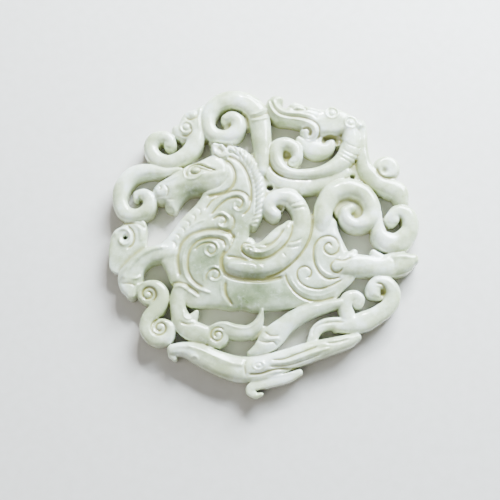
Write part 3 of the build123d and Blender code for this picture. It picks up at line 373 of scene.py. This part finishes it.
        (-0.4, 0.5, (34.4, 17.2), (33, 15.8), (30.8, 15.4), (29, 16.4), (28.4, 18.2)),
        (-0.35, 0.4, (27, -11.8), (28.6, -12.2), (29.3, -13.6), (28.5, -14.4)),
    ),
}
CARVING = 1.2           # how much bolder the lines are than their tables say
LINE_FADE, LINE_END = 0.8, 0.3       # a line fades over this at its ends, to this share
FINE_LINE = 0.35        # half width up to which a line shows its whole painted shade or highlight
LINE_SHADE = 3.0        # how strongly the painted shade turns cut lines olive and the painted highlight turns raised lines white

# Spirals cut into the hearts of the scrolls: depth, half width, middle across and up, outer and inner
# radius, the direction in which each starts in degrees, and its turns.
SPIRALS = (
    (-0.42, 0.36, -28.6, -14.5, 2.15, 0.45, -60, 1.5), (-0.42, 0.36, -25.5, -22.8, 2.25, 0.45, 110, 1.6),
    (-0.4, 0.34, -11.6, -24.6, 2, 0.4, 40, 1.6),
)
SPIRAL_POINTS = 12      # to each turn

# Scales along the front of the neck: the middle of each, then what they share
NECK_SCALES = ((-17.2, 6.4), (-18.6, 4.8), (-19.9, 3.1), (-21.2, 1.4), (-22.3, -0.4), (-23.2, -2.2))
SCALE_RADIUS = 1.15
SCALE_ANGLES = (105, 65, 25, -15, -55)
SCALE_CUT, SCALE_HALF = -0.18, 0.36

# Bosses: across, up, half width, half height, how far the middle stands up, radius of the rim or nothing.
BOSSES = (
    (-17.6, 17.2, 1.15, 0.85, 0.5, 0), (17.4, 33.1, 0.8, 0.8, 0.22, 1.6), (22.2, 30.4, 0.8, 0.8, 0.22, 1.55),
    (-1.7, -31.9, 0.9, 0.6, 0.3, 1.35), (-20.2, 29.3, 1, 1, 0.3, 1.5), (-18.6, 33, 1, 1, 0.3, 0),
    (-26.9, 12.6, 0.25, 0.25, -0.35, 0), (8.6, 34.4, 0.7, 0.4, 0.25, 0), (-17, -30.4, 0.5, 0.5, 0.2, 0.8),
    (-34.9, 0.1, 0.2, 0.2, -0.2, 0),
)
RIM_RISE, RIM_HALF = 0.28, 0.38      # the rim of a boss, and the groove inside it
RIM_CUT, CUT_HALF, CUT_INWARDS = 0.25, 0.35, 0.6

# Dimples at the hearts of the scrolls: across, up, radius, depth.
DIMPLES = (
    (5.3, 21.7, 1, 0.9), (22.3, 6, 0.8, 0.8), (-10.7, 29.6, 0.8, 0.6), (30.4, 17.4, 0.75, 0.9),
    (28.5, -13.9, 0.6, 0.9), (-31.9, 9, 0.6, 0.6), (3.7, 7.8, 0.9, 0.9), (11.5, 27.3, 0.7, 0.7),
)

# Drilled right through: across, up, diameter.
DRILLED = ((1.3, 13.4, 1.8), (-34.9, 0.1, 1.2), (22.4, 16.3, 1.3))

MANE_LOCKS = 18
MANE_LEAN = 0.8         # how far a lock runs back for each millimetre across
LOCK_DEPTH = 0.55       # of the cuts between them

# Unevenness that the cutting wheel left
WAVE_LENGTHS = (3.1, 4.3, 5.9, 7.3, 9.1)
WAVE_HEIGHT = 0.02
WAVE_BEND = 1.5         # how much the waves wander, in radians

# Where the stone runs greener, and under the horse's jaw painted shade of the lower face: across, up, half width,
# half height, strength
GREEN_AND_SHADE_PATCHES = (
    (0, -14, 18, 6, 1), (-15, -6, 7, 8, 0.95), (-4, -7, 9, 4.5, 0.75), (-7, 7, 6.5, 9, 0.7), (12, -7, 8, 7, 0.6),
    # the first patch here, under the horse's jaw, is painted shade of the lower face
    (-18, 11.5, 8, 3.2, 0.6), (-32, -6, 8, 9, 0.4), (-8, -24, 14, 6, 0.35),
)

# What counts as a crease for the painted olive shade: hollows below the heights around them, averaged over this
# radius
HOLLOW_RADIUS = 1.2
GAP_HEIGHT = 2.8        # what a gap counts as in that average
HOLLOW_RANGE = (-1.5, 2.5)
SIDE_TOP = 3.0          # the sides below this take the full painted shade of the creases

# Floor, camera and light, in metres and degrees where nothing else is said
FLOOR_LEVEL = -0.02     # millimetres: a hair under the back of the pendant
FLOOR_REACH = 1.5
AIM = (-3.75, -2.8, 3.0)             # millimetres, on the drawing's grid
CAMERA_AWAY = 200       # millimetres
CAMERA_TILT = 75.0
LENS, SENSOR = 57.6, 36.0            # millimetres
# Each light's place, size, power in watts and colour
LIGHTS = {
    "window": ((0.17, 0.29, 0.21), 0.24, 11.8, "#e8f5ff"),
    "lamp": ((0.02, 0.24, 0.22), 0.02, 0.7, "#fbfdff"),
    "fill": ((-0.30, -0.24, 0.42), 0.5, 1.2, "#fffaf2"),
}
STUDIO_COLOUR, STUDIO_STRENGTH = "#e6eaf0", 0.30


class Raster:
    """A square map of the drawing, with the places of its points."""

    def __init__(self, reach, step):
        self.step = step
        self.low = -reach
        self.count = int(round(2 * reach / step)) + 1
        line = (self.low + step * np.arange(self.count)).astype(np.float32)
        self.across, self.up = np.meshgrid(line, line)

    def window(self, points, margin):
        """The part of the map within a margin of some points."""
        low = points.min(axis=0) - margin
        high = points.max(axis=0) + margin
        first = np.clip(((low - self.low) / self.step).astype(int), 0, self.count - 1)
        last = np.clip(((high - self.low) / self.step).astype(int) + 2, 1, self.count)
        return slice(first[1], last[1]), slice(first[0], last[0])

    def around(self, mid_across, mid_up, margin):
        """The part of the map around one point, and how far across and up from it each place lies."""
        window = self.window(np.array([[mid_across, mid_up]]), margin)
        return window, self.across[window] - mid_across, self.up[window] - mid_up

    def sample(self, values, across, up):
        """The value of a map at any places, between its points."""
        column = np.clip((across - self.low) / self.step, 0, self.count - 1.001)
        row = np.clip((up - self.low) / self.step, 0, self.count - 1.001)
        left, below = column.astype(int), row.astype(int)
        part_across, part_up = column - left, row - below
        lower = values[below, left] * (1 - part_across) + values[below, left + 1] * part_across
        upper = values[below + 1, left] * (1 - part_across) + values[below + 1, left + 1] * part_across
        return lower * (1 - part_up) + upper * part_up


def smooth_line(rows, closed=False, per=8):
    """A smooth line through the rows of a table, other columns carried along."""
    rows = np.array(rows, float)
    count = len(rows)
    shares = np.arange(per)[:, None] / per
    pieces = []
    for index in range(count if closed else count - 1):
        here, after = rows[index % count], rows[(index + 1) % count]
        before = rows[(index - 1) % count] if closed or index > 0 else 2 * here - after
        beyond = rows[(index + 2) % count] if closed or index + 2 < count else 2 * after - here
        pieces.append(0.5 * (2 * here + (after - before) * shares
                             + (2 * before - 5 * here + 4 * after - beyond) * shares ** 2
                             + (3 * here - before - 3 * after + beyond) * shares ** 3))
    if not closed:
        pieces.append(rows[-1:])
    return np.concatenate(pieces)


def nearest_on_line(across, up, line):
    """For each place: how far from a line, on which side, how far along, the third column there; and the length."""
    best = np.full(across.shape, 1e9, np.float32)
    side, along, carried = np.zeros((3, *across.shape), np.float32)
    travelled = 0.0
    for start, end in zip(line[:-1], line[1:]):
        step = end[:2] - start[:2]
        length = float(np.hypot(*step))
        if length < 1e-6:
            continue
        share = np.clip(((across - start[0]) * step[0] + (up - start[1]) * step[1]) / length ** 2, 0, 1)
        off_across = across - start[0] - share * step[0]
        off_up = up - start[1] - share * step[1]
        distance = np.hypot(off_across, off_up)
        closer = distance < best
        best = np.where(closer, distance, best)
        side = np.where(closer, np.sign(step[0] * off_up - step[1] * off_across), side)
        along = np.where(closer, travelled + share * length, along)
        if line.shape[1] > 2:
            carried = np.where(closer, start[2] + share * (end[2] - start[2]), carried)
        travelled += length
    return best, side, along, carried, travelled


def inside_outline(across, up, line):
    """True where a place lies inside a closed line."""
    inside = np.zeros(across.shape, bool)
    for start, end in zip(line, np.roll(line, -1, axis=0)):
        if start[1] == end[1]:
            continue
        crosses = (start[1] > up) != (end[1] > up)
        where = start[0] + (up - start[1]) * (end[0] - start[0]) / (end[1] - start[1])
        inside ^= crosses & (across < where)
    return inside


def blur(values, radius):
    """A soft average over a radius in millimetres."""
    reach = int(3 * radius / RASTER) + 1
    offsets = np.arange(-reach, reach + 1)
    weights = np.exp(-0.5 * (offsets * RASTER / radius) ** 2)
    weights /= weights.sum()
    for axis in (0, 1):
        padded = np.pad(values, [(reach, reach) if side == axis else (0, 0) for side in (0, 1)], mode="edge")
        total = np.zeros_like(values)
        for offset, weight in zip(offsets + reach, weights):
            window = [slice(None), slice(None)]
            window[axis] = slice(offset, offset + values.shape[axis])
            total += weight * padded[tuple(window)]
        values = total
    return values


def depth_inside(mask, limit):
    """How far each point of the map is inside a mask, up to a limit in millimetres."""
    index = np.broadcast_to(np.arange(mask.shape[1]), mask.shape)
    last_out = np.maximum.accumulate(np.where(mask, -10 ** 6, index), axis=1)
    next_out = np.minimum.accumulate(np.where(mask, 10 ** 6, index)[:, ::-1], axis=1)[:, ::-1]
    in_row = np.minimum(index - last_out, next_out - index).astype(np.float32)
    reach = int(limit / RASTER) + 1
    padded = np.pad(in_row, ((reach, reach), (0, 0)), constant_values=0)
    best = np.full(mask.shape, 1e9, np.float32)
    for offset in range(-reach, reach + 1):
        row = padded[reach + offset:reach + offset + mask.shape[0]]
        best = np.minimum(best, row * row + offset * offset)
    return np.minimum(np.sqrt(best) * RASTER, limit)


def rounded(inside, reach):
    """The rise of a quarter round: nothing at its edge, one where it is full."""
    share = np.clip(inside / reach, 0, 1)
    return np.sqrt(np.clip(1 - (1 - share) ** 2, 0, 1))


def crease(distance, half_width):
    """The cross-section of an engraved or raised line: one in the middle, nothing past its width."""
    return np.clip(1 - (distance / half_width) ** 2, 0, 1) ** 1.5


# The relief: how high the front stands, how far each place is inside the outline, and whose form is on top
raster = Raster(RASTER_REACH, RASTER)
height = np.full(raster.across.shape, GROUND, np.float32)
inside = np.full(raster.across.shape, -9.0, np.float32)
owner = np.zeros(raster.across.shape, np.int16)
numbers = {name: number for number, name in enumerate([*FORMS, *SCROLLS], start=1)}


def lay(window, rise, edge, number=0):
    """Lays one form over the relief, where it stands higher than what is there."""
    there = height[window]
    higher = (rise > there) & (edge > 0)
    height[window] = np.where(higher, rise, there)
    owner[window] = np.where(higher, number, owner[window])
    inside[window] = np.maximum(inside[window], edge)


for name, (crest_share, reach_share, *outline) in FORMS.items():
    line = smooth_line(outline, closed=True)
    window = raster.window(line, margin=1.0)
    across, up = raster.across[window], raster.up[window]
    distance = nearest_on_line(across, up, np.vstack([line, line[:1]]))[0]
    edge = np.where(inside_outline(across, up, line), distance, -distance)
    rise = VALLEY + (crest_share * CREST - CROWN - VALLEY) * rounded(edge, reach_share * FORM_REACH)
    rise += CROWN * rounded(edge, CROWN_REACH)
    rise += FULLNESS.get(name, 0) * (rounded(edge, FULL_REACH) - 1)
    lay(window, rise, edge, numbers[name])

for name, (crest_share, *stations) in SCROLLS.items():
    line = smooth_line(stations)
    window = raster.window(line[:, :2], margin=1.6 * SCROLL_HALF)
    distance, side, along, share, length = nearest_on_line(raster.across[window], raster.up[window], line)
    half = share * SCROLL_HALF
    off_middle = np.clip(distance / np.maximum(half, 0.1), 0, 1)
    dome = (1 - off_middle ** FLAT_POWER) ** ROUND_POWER
    thickness = np.clip(half / SCROLL_HALF, THINNEST, 1.0)
    top = VALLEY + (crest_share * CREST - VALLEY) * (1 - THIN_LOSS + THIN_LOSS * thickness)
    rise = VALLEY + (top - VALLEY) * dome
    if name in RISES_OUT:
        rise -= SINK * np.clip(1 - along / RISES_OUT[name], 0, 1) ** 1.5
    lay(window, rise, half - distance, numbers[name])
    if name == "mane":
        mane_window, mane_run = window, (along + MANE_LEAN * (distance * side)) / length

for mid_across, mid_up, radius, crest_share in DOMES:
    window, across, up = raster.around(mid_across, mid_up, margin=4.0)
    edge = radius - np.hypot(across, up)
    lay(window, VALLEY + (crest_share * CREST - VALLEY) * rounded(edge, min(DOME_REACH, 0.75 * radius)), edge)

for mid_across, mid_up, half_width, half_length, turn in WEBS:
    window, across, up = raster.around(mid_across, mid_up, margin=4.0)
    angle = math.radians(turn)
    turned_across = across * math.cos(angle) + up * math.sin(angle)
    turned_up = up * math.cos(angle) - across * math.sin(angle)
    radial = np.sqrt((turned_across / half_width) ** 2 + (turned_up / half_length) ** 2)
    inside[window] = np.maximum(inside[window], (1 - radial) * min(half_width, half_length))

brow_start, brow_end = np.array(BROW)
brow_step = (brow_end - brow_start) / np.hypot(*(brow_end - brow_start))
below_brow = (raster.across - brow_start[0]) * brow_step[1] - (raster.up - brow_start[1]) * brow_step[0]
falls = FACE_SLOPE * np.clip(below_brow - FACE_START, 0, FACE_REACH)
height -= np.where(owner == numbers["horse_head"], falls, 0)

scales = []
for mid_across, mid_up in NECK_SCALES:
    arc = [(mid_across + SCALE_RADIUS * math.cos(angle), mid_up + SCALE_RADIUS * math.sin(angle))
           for angle in np.radians(SCALE_ANGLES)]
    scales.append((SCALE_CUT, SCALE_HALF, *arc))

spirals = []
for rise, half_width, mid_across, mid_up, outer, inner, start, turns in SPIRALS:
    steps = np.linspace(0, 1, int(SPIRAL_POINTS * turns) + 2)
    angles = np.radians(start + 360 * turns * steps)
    radii = outer + (inner - outer) * steps
    points = np.stack([mid_across + radii * np.cos(angles), mid_up + radii * np.sin(angles)], axis=1)
    spirals.append((rise, half_width, *points))

# Painted shade for the cut lines and painted highlight for the raised ones, kept beside the relief
shade = np.zeros_like(height)
for lines in [*LINES.values(), scales, spirals]:
    for rise, half_width, *points in lines:
        line = smooth_line(points)
        window = raster.window(line, margin=half_width + 0.6)
        distance, _, along, _, length = nearest_on_line(raster.across[window], raster.up[window], line)
        fade = np.clip(np.minimum(along, length - along) / LINE_FADE + LINE_END, 0, 1)
        profile = fade * crease(distance, half_width)
        height[window] += CARVING * rise * profile
        shade[window] -= rise * profile * min(1, FINE_LINE / half_width)

for mid_across, mid_up, half_across, half_up, rise, rim in BOSSES:
    window, across, up = raster.around(mid_across, mid_up, margin=3.5)
    radial = np.hypot(across / half_across, up / half_up)
    height[window] += rise * np.sqrt(np.clip(1 - radial ** 2, 0, 1))
    if rim:
        distance = np.hypot(across, up * half_across / half_up)
        groove = RIM_CUT * crease(distance - rim + CUT_INWARDS, CUT_HALF)
        height[window] += RIM_RISE * crease(distance - rim, RIM_HALF) - groove

for mid_across, mid_up, radius, depth_down in DIMPLES:
    window, across, up = raster.around(mid_across, mid_up, margin=2.5)
    height[window] -= depth_down * np.exp(-(np.hypot(across, up) / radius) ** 2)

# The mane is cut into slanting locks
from_lock = np.abs((mane_run * MANE_LOCKS % 1.0) - 0.5) * 2
height[mane_window] -= np.where(owner[mane_window] == numbers["mane"], LOCK_DEPTH * from_lock ** 4, 0)

for mid_across, mid_up, diameter in DRILLED:
    window, across, up = raster.around(mid_across, mid_up, margin=3.0)
    inside[window] = np.minimum(inside[window], np.hypot(across, up) - diameter / 2)

# Long shallow waves across the whole front
dice = np.random.default_rng(7)
for wave_length in WAVE_LENGTHS:
    turn, start = dice.uniform(0, math.tau, 2)
    run = raster.across * math.cos(turn) + raster.up * math.sin(turn)
    bend = np.sin((raster.up * math.cos(turn) - raster.across * math.sin(turn)) / wave_length + start)
    height += WAVE_HEIGHT * np.sin(math.tau * run / wave_length + WAVE_BEND * bend)

height = blur(height, SOFTENING)
depth = blur(depth_inside(inside > 0, limit=2.2), SOFTENING)
front = np.minimum(height, EDGE_START + (EDGE_TOP - EDGE_START) * rounded(depth, EDGE_REACH))
back = BACK_RADIUS * (1 - rounded(depth, BACK_RADIUS))


def cut_surface(front, back, inside):
    """The skin of the solid between the front, the back and the outline, as vertices and four-sided faces."""
    line = np.arange(-CELL_REACH, CELL_REACH, CELL)
    levels = np.arange(CELL_START, CREST + 1.5, CELL_UP)
    across, up = np.meshgrid(line, line, indexing="ij")
    front_map, back_map = raster.sample(front, across, up), raster.sample(back, across, up)
    edge_map = np.clip(raster.sample(inside, across, up), -1, 1)
    level = levels[None, None, :]
    between = np.minimum(front_map[..., None] - level, level - back_map[..., None])
    field = np.minimum(between, edge_map[..., None])
    solid = field > 0
    corners = [(a, b, c) for a in (0, 1) for b in (0, 1) for c in (0, 1)]
    shape = tuple(size - 1 for size in field.shape)

    # One vertex in each cell that the skin passes through, in the middle of where it cuts the cell's edges
    filled = sum(solid[a:a + shape[0], b:b + shape[1], c:c + shape[2]].astype(np.int8) for a, b, c in corners)
    crossing = (filled > 0) & (filled < 8)
    cells = np.argwhere(crossing)
    number = np.full(shape, -1, np.int64)
    number[crossing] = np.arange(len(cells))
    total = np.zeros((len(cells), 3))
    hits = np.zeros(len(cells))
    for axis in range(3):
        for first in corners:
            if first[axis]:
                continue
            second = [1 if side == axis else first[side] for side in range(3)]
            value_a, value_b = field[tuple((cells + first).T)], field[tuple((cells + second).T)]
            cut = (value_a > 0) != (value_b > 0)
            place = (cells + first).astype(float)
            place[:, axis] += np.where(cut, value_a / np.where(cut, value_a - value_b, 1), 0)
            total[cut] += place[cut]
            hits[cut] += 1
    middle = total / hits[:, None]
    vertices = np.stack([line[0] + middle[:, 0] * CELL, line[0] + middle[:, 1] * CELL,
                         levels[0] + middle[:, 2] * CELL_UP], axis=1)

    # One face across each edge between a filled point and an empty one, joining the four cells round it
    faces = []
    for axis in range(3):
        other, third = [(1, 2), (2, 0), (0, 1)][axis]
        low = [slice(1, -1)] * 3
        low[axis] = slice(0, -1)
        high = list(low)
        high[axis] = slice(1, None)
        places = np.argwhere(solid[tuple(low)] != solid[tuple(high)])
        leaves = solid[tuple(low)][tuple(places.T)]
        base = places + np.array([0 if side == axis else 1 for side in range(3)])
        quad = []
        for step_other, step_third in ((0, 0), (1, 0), (1, 1), (0, 1)):
            cell = base.copy()
            cell[:, other] -= step_other
            cell[:, third] -= step_third
            quad.append(number[tuple(cell.T)])
        quad = np.stack(quad, axis=1)
        quad[~leaves] = quad[~leaves][:, ::-1]
        faces.append(quad[(quad >= 0).all(axis=1)])
    return vertices, np.concatenate(faces)


vertices, faces = cut_surface(front, back, inside)
vertices[:, :2] -= MIDDLE
skin = bpy.data.meshes.new("carved_plaque_skin")
skin.from_pydata((vertices * MM).tolist(), [], faces.tolist())
skin.validate()
skin.update()
plaque = bpy.data.objects.new("jade_plaque", skin)
bpy.context.scene.collection.objects.link(plaque)

# Flat places need fewer triangles than the carving
thin = plaque.modifiers.new("thin", "DECIMATE")
thin.ratio = TRIANGLES / (2 * len(skin.polygons))
mesh = bpy.data.meshes.new_from_object(plaque.evaluated_get(bpy.context.evaluated_depsgraph_get()))
plaque.modifiers.remove(thin)
plaque.data = mesh
bpy.data.meshes.remove(skin)
mesh.polygons.foreach_set("use_smooth", np.ones(len(mesh.polygons), bool))

places = np.empty(len(mesh.vertices) * 3)
mesh.vertices.foreach_get("co", places)
places = places.reshape(-1, 3) / MM


def at_points(values):
    """The value of a map at each point of the mesh."""
    return raster.sample(values, places[:, 0] + MIDDLE[0], places[:, 1] + MIDDLE[1])


# How deep each point lies below its surroundings, for the painted olive shade of the creases, the cut lines and the
# low sides, and the painted highlight of raised lines
hollow = np.clip(blur(np.where(inside > 0, front, GAP_HEIGHT), HOLLOW_RADIUS) - front, *HOLLOW_RANGE)
crease_shade = np.where(places[:, 2] < SIDE_TOP, 1.0, at_points(hollow + LINE_SHADE * shade))

# The middle of the slab runs greener than its rim, and the patch under the horse's jaw is painted shade
green = np.zeros_like(height)
for mid_across, mid_up, half_across, half_up, strength in GREEN_AND_SHADE_PATCHES:
    radial = ((raster.across - mid_across) / half_across) ** 2 + ((raster.up - mid_up) / half_up) ** 2
    green = np.maximum(green, strength * np.exp(-radial ** 1.5))

for name, values in (("crease_shade", crease_shade), ("green_and_shade_band", at_points(green))):
    mesh.attributes.new(name, "FLOAT", "POINT").data.foreach_set("value", values.astype(np.float32))


def linear(hexcode):
    """A colour written as sRGB hex, as the linear values that light works in."""
    parts = [int(hexcode[index:index + 2], 16) / 255 for index in (1, 3, 5)]
    return [part / 12.92 if part <= 0.04045 else ((part + 0.055) / 1.055) ** 2.4 for part in parts] + [1.0]


def add_node(tree, kind, settings=None, stops=(), **inputs):
    """Adds a shader node with its settings, values and colour stops, and links what is given as a socket."""
    node = tree.nodes.new(kind)
    for name, value in (settings or {}).items():
        setattr(node, name, value)
    for name, value in inputs.items():
        socket = node.inputs[name.replace("_", " ")]
        if isinstance(value, bpy.types.NodeSocket):
            tree.links.new(value, socket)
        else:
            socket.default_value = value
    if stops:
        elements = node.color_ramp.elements
        while len(elements) < len(stops):
            elements.new(0.5)
        for element, (place, colour) in zip(elements, stops):
            element.position = place
            element.color = linear(colour)
    return node


def blank_material(name):
    """A new material: itself, its tree, its shader, and the place on the piece in millimetres."""
    material = bpy.data.materials.new(name)
    material.use_nodes = True
    tree = material.node_tree
    place = add_node(tree, "ShaderNodeTexCoord").outputs["Object"]
    in_mm = add_node(tree, "ShaderNodeVectorMath", {"operation": "SCALE"}, Vector=place, Scale=1 / MM)
    return material, tree, tree.nodes["Principled BSDF"], in_mm.outputs["Vector"]


def pale_jade():
    """Pale celadon nephrite, polished to wax: light sinks in a millimetre, edges glow, and the creases get painted
    olive shade.
    """
    material, tree, shader, in_mm = blank_material("pale_nephrite")

    # What drifts through the stone and its polish: how many to a millimetre, detail, roughness. Clouds are
    # about 9 mm across, dull patches and smears in the polish 3 mm, white flecks 2 mm, the grain 1 mm.
    drifts = {}
    for name, per_mm, detail, roughness in (
            ("clouds", 0.11, 6.0, 0.62), ("patches", 0.3, 5.0, 0.65), ("flecks", 0.5, 6.0, 0.7),
            ("smears", 0.35, 3.0, 0.5), ("grain", 1.1, 3.0, 0.5)):
        noise = add_node(tree, "ShaderNodeTexNoise", Vector=in_mm, Scale=per_mm, Detail=detail,
                         Roughness=roughness)
        drifts[name] = noise.outputs["Fac"]
    crease_shade, band = [add_node(tree, "ShaderNodeAttribute", {"attribute_name": name}).outputs["Fac"]
                    for name in ("crease_shade", "green_and_shade_band")]

    # Clouds, paler in the scrolls than in the greener band across the horse, whose darker tones also paint the
    # shade under the horse's jaw
    scrolls, horse = [add_node(tree, "ShaderNodeValToRGB", stops=stops, Fac=drifts["clouds"]).outputs["Color"]
                      for stops in (((0.39, "#b2be93"), (0.51, "#d5e0c0"), (0.62, "#f0faee")),
                                    ((0.38, "#65744f"), (0.5, "#7e8d69"), (0.62, "#a8b899")))]
    stone = add_node(tree, "ShaderNodeMix", {"data_type": "RGBA"}, Factor=band, A=scrolls, B=horse)

    # Over them patches, flecks and the painted olive shade of the creases, each from nothing at low to its most at
    # high
    for hexcode, amount, low, high, most in (
            ("#9aa883", drifts["patches"], 0.5, 0.7, 0.45), ("#f1fbf3", drifts["flecks"], 0.54, 0.76, 0.4),
            ("#93904e", crease_shade, 0.05, 0.9, 0.9)):
        share = add_node(tree, "ShaderNodeMapRange", Value=amount, From_Min=low, From_Max=high, To_Max=most)
        stone = add_node(tree, "ShaderNodeMix", {"data_type": "RGBA"}, Factor=share.outputs["Result"],
                         A=stone.outputs["Result"], B=linear(hexcode))
    tree.links.new(stone.outputs["Result"], shader.inputs["Base Color"])
    for name, value in (("Subsurface Weight", 0.42), ("Subsurface Radius", (1.0, 0.9, 0.6)),
                        ("Subsurface Scale", 1.1 * MM), ("IOR", 1.61), ("Coat Weight", 1.0),
                        ("Coat Roughness", 0.1)):
        shader.inputs[name].default_value = value
    gloss = add_node(tree, "ShaderNodeMapRange", Value=drifts["smears"], From_Min=0.3, From_Max=0.7,
                     To_Min=0.26, To_Max=0.42)
    tree.links.new(gloss.outputs["Result"], shader.inputs["Roughness"])
    bump = add_node(tree, "ShaderNodeBump", Strength=0.3, Distance=0.06 * MM, Height=drifts["grain"])
    tree.links.new(bump.outputs["Normal"], shader.inputs["Normal"])
    return material


def pale_card():
    """Smooth matt card, with a fibre of about 2.5 mm that barely shows."""
    material, tree, shader, in_mm = blank_material("pale_card")
    fibre = add_node(tree, "ShaderNodeTexNoise", Vector=in_mm, Scale=0.4, Detail=4.0)
    colour = add_node(tree, "ShaderNodeValToRGB", stops=((0.35, "#d9d6d0"), (0.65, "#dedbd6")),
                      Fac=fibre.outputs["Fac"])
    tree.links.new(colour.outputs["Color"], shader.inputs["Base Color"])
    shader.inputs["Roughness"].default_value = 0.7
    return material


plaque.data.materials.append(pale_jade())
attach(plaque, "root")
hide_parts("carved_plaque")

# Floor, light and camera
floor_mesh = bpy.data.meshes.new("floor")
corners = [(across * FLOOR_REACH, up * FLOOR_REACH, FLOOR_LEVEL * MM)
           for across, up in ((-1, -1), (1, -1), (1, 1), (-1, 1))]
floor_mesh.from_pydata(corners, [], [(0, 1, 2, 3)])
floor = bpy.data.objects.new("floor", floor_mesh)
bpy.context.scene.collection.objects.link(floor)
floor.data.materials.append(pale_card())

world = bpy.data.worlds.new("studio")
world.use_nodes = True
background = world.node_tree.nodes["Background"]
background.inputs["Color"].default_value = linear(STUDIO_COLOUR)
background.inputs["Strength"].default_value = STUDIO_STRENGTH
bpy.context.scene.world = world

# Square soft lights that face the pendant
for name, (place, size, power, colour) in LIGHTS.items():
    data = bpy.data.lights.new(name, "AREA")
    data.size = size
    data.energy = power
    data.color = linear(colour)[:3]
    light = bpy.data.objects.new(name, data)
    light.location = place
    light.rotation_euler = (-Vector(place)).to_track_quat("-Z", "Y").to_euler()
    bpy.context.scene.collection.objects.link(light)

camera_data = bpy.data.cameras.new("camera")
camera_data.sensor_width = SENSOR
camera_data.lens = LENS
camera = bpy.data.objects.new("camera", camera_data)
aim = Vector((AIM[0] - MIDDLE[0], AIM[1] - MIDDLE[1], AIM[2])) * MM
tilt = math.radians(CAMERA_TILT)
camera.location = aim + Vector((0, -math.cos(tilt), math.sin(tilt))) * CAMERA_AWAY * MM
camera.rotation_euler = (aim - camera.location).to_track_quat("-Z", "Y").to_euler()
bpy.context.scene.collection.objects.link(camera)
bpy.context.scene.camera = camera
